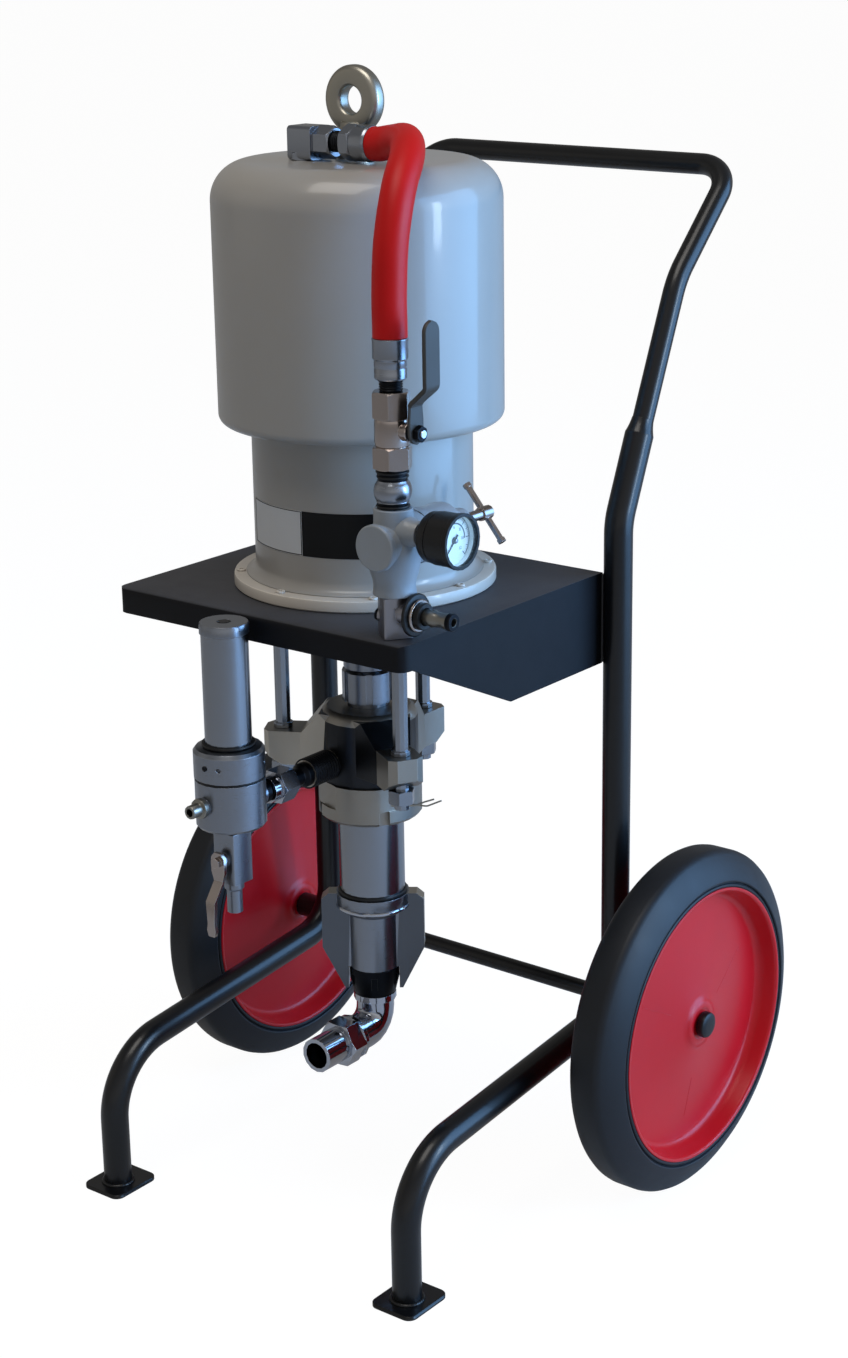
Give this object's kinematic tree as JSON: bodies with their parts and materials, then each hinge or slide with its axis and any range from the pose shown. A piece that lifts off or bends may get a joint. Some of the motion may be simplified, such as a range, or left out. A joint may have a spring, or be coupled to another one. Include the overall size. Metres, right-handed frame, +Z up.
{
  "type": "airless paint sprayer",
  "caption": "Air-driven airless paint sprayer: reciprocating air motor over a high-pressure fluid pump, with air line, regulator and filter, on a two-wheeled tubular cart",
  "frame": {"origin": "on the floor under the centre of the bounding box", "axes": "+X to the right wheel, -Y to the front feet and the filter, +Z up; the two wheels share an axis along X"},
  "size_m": [0.59, 0.598, 1.105],
  "materials": {
    "black_paint": "gloss black powder coat",
    "tray_paint": "satin dark grey powder coat",
    "tyre": "solid rubber",
    "red_disc": "moulded crimson plastic",
    "black_plastic": "black plastic",
    "motor_paint": "gloss pale grey paint",
    "base_paint": "satin ivory grey paint",
    "cast_paint": "satin grey paint on a casting",
    "stainless": "turned stainless steel",
    "dark_steel": "blackened steel",
    "nickel": "nickel plated fittings",
    "chrome": "polished hard chrome",
    "hose": "red rubber air hose",
    "lever_sleeve": "steel lever in a dark grey sleeve",
    "glass": "clear gauge glass"
  },
  "bodies": {
    "frame": {"side_tube_right": "black_paint", "side_tube_left": "black_paint", "handle_bow": "black_paint", "axle": "black_paint", "tray": "tray_paint", "hub_cap_right": "black_plastic", "hub_cap_left": "black_plastic", "gauge_case": "black_plastic", "motor_cylinder": "motor_paint", "motor_shroud": "motor_paint", "motor_base": "base_paint", "regulator_body": "cast_paint", "regulator_bonnet": "cast_paint", "tie_rod_1": "stainless", "tie_rod_2": "stainless", "tie_rod_3": "stainless", "packing_nut": "stainless", "outlet_housing": "stainless", "cylinder_ring": "stainless", "pump_cylinder": "stainless", "intake_housing": "stainless", "filter_head": "stainless", "filter_ring_nut": "stainless", "filter_tube": "stainless", "filter_cap": "stainless", "drain_valve": "stainless", "inlet_block": "stainless", "intake_nut": "dark_steel", "link_pipe": "dark_steel", "lifting_eye": "nickel", "top_elbow": "nickel", "hose_swivel": "nickel", "hose_tail": "nickel", "air_valve_body": "nickel", "air_union": "nickel", "inlet_plug": "nickel", "intake_union": "nickel", "link_nut": "nickel", "outlet_nipple": "nickel", "intake_elbow": "chrome", "filter_element": "chrome", "air_hose": "hose", "gauge_lens": "glass"},
    "right_wheel": {"tyre_right": "tyre", "wheel_disc_right": "red_disc"},
    "left_wheel": {"tyre_left": "tyre", "wheel_disc_left": "red_disc"},
    "pump_rod": {"air_piston": "stainless", "piston_rod": "chrome", "rod_coupling": "stainless", "displacement_rod": "chrome"},
    "piston_valve": {"piston_ball": "chrome"},
    "foot_valve": {"foot_valve_ball": "chrome"},
    "air_valve": {"air_valve_ball": "chrome", "air_valve_lever": "lever_sleeve"},
    "regulator_feed": {"spring_seat": "stainless"},
    "regulator_handle": {"regulator_screw": "nickel"},
    "pressure_needle": {"gauge_needle": "black_plastic"},
    "drain_handle": {"drain_lever": "nickel"}
  },
  "joints": [
    {"name": "right_wheel_spin", "type": "hinge", "parent": "frame", "child": "right_wheel", "pos_m": [0.262, 0.104, 0.175], "axis": [1, 0, 0], "continuous": true},
    {"name": "left_wheel_spin", "type": "hinge", "parent": "frame", "child": "left_wheel", "pos_m": [-0.262, 0.104, 0.175], "axis": [1, 0, 0], "continuous": true},
    {"name": "pump_stroke", "type": "slide", "parent": "frame", "child": "pump_rod", "axis": [0, 0, 1], "range_m": [0, 0.08]},
    {"name": "piston_valve_lift", "type": "slide", "parent": "pump_rod", "child": "piston_valve", "axis": [0, 0, 1], "range_m": [0, 0.005]},
    {"name": "foot_valve_lift", "type": "slide", "parent": "frame", "child": "foot_valve", "axis": [0, 0, 1], "range_m": [0, 0.006]},
    {"name": "air_valve_turn", "type": "hinge", "parent": "frame", "child": "air_valve", "pos_m": [0.145, -0.1945, 0.811], "axis": [1, 0, 0], "range_deg": [0, 90]},
    {"name": "drain_valve_turn", "type": "hinge", "parent": "frame", "child": "drain_handle", "pos_m": [-0.011, -0.248, 0.399], "axis": [0, 1, 0], "range_deg": [0, 90]},
    {"name": "screw_feed", "type": "slide", "parent": "frame", "child": "regulator_feed", "axis": [0, 1, 0], "range_m": [-0.0045, 0.0015]},
    {"name": "screw_turn", "type": "hinge", "parent": "regulator_feed", "child": "regulator_handle", "pos_m": [0.145, -0.063, 0.711], "axis": [0, 1, 0], "range_deg": [-1081, 361]},
    {"name": "needle_swing", "type": "hinge", "parent": "frame", "child": "pressure_needle", "pos_m": [0.2125, -0.1945, 0.7225], "axis": [-1, 0, 0], "range_deg": [0, 270], "stiffness_Nm_per_rad": 0.0002, "springref_deg": -34.38}
  ],
  "couplings": [
    {"joint": "screw_turn", "follows": "screw_feed", "rad_per_m": 4188.8}
  ]
}
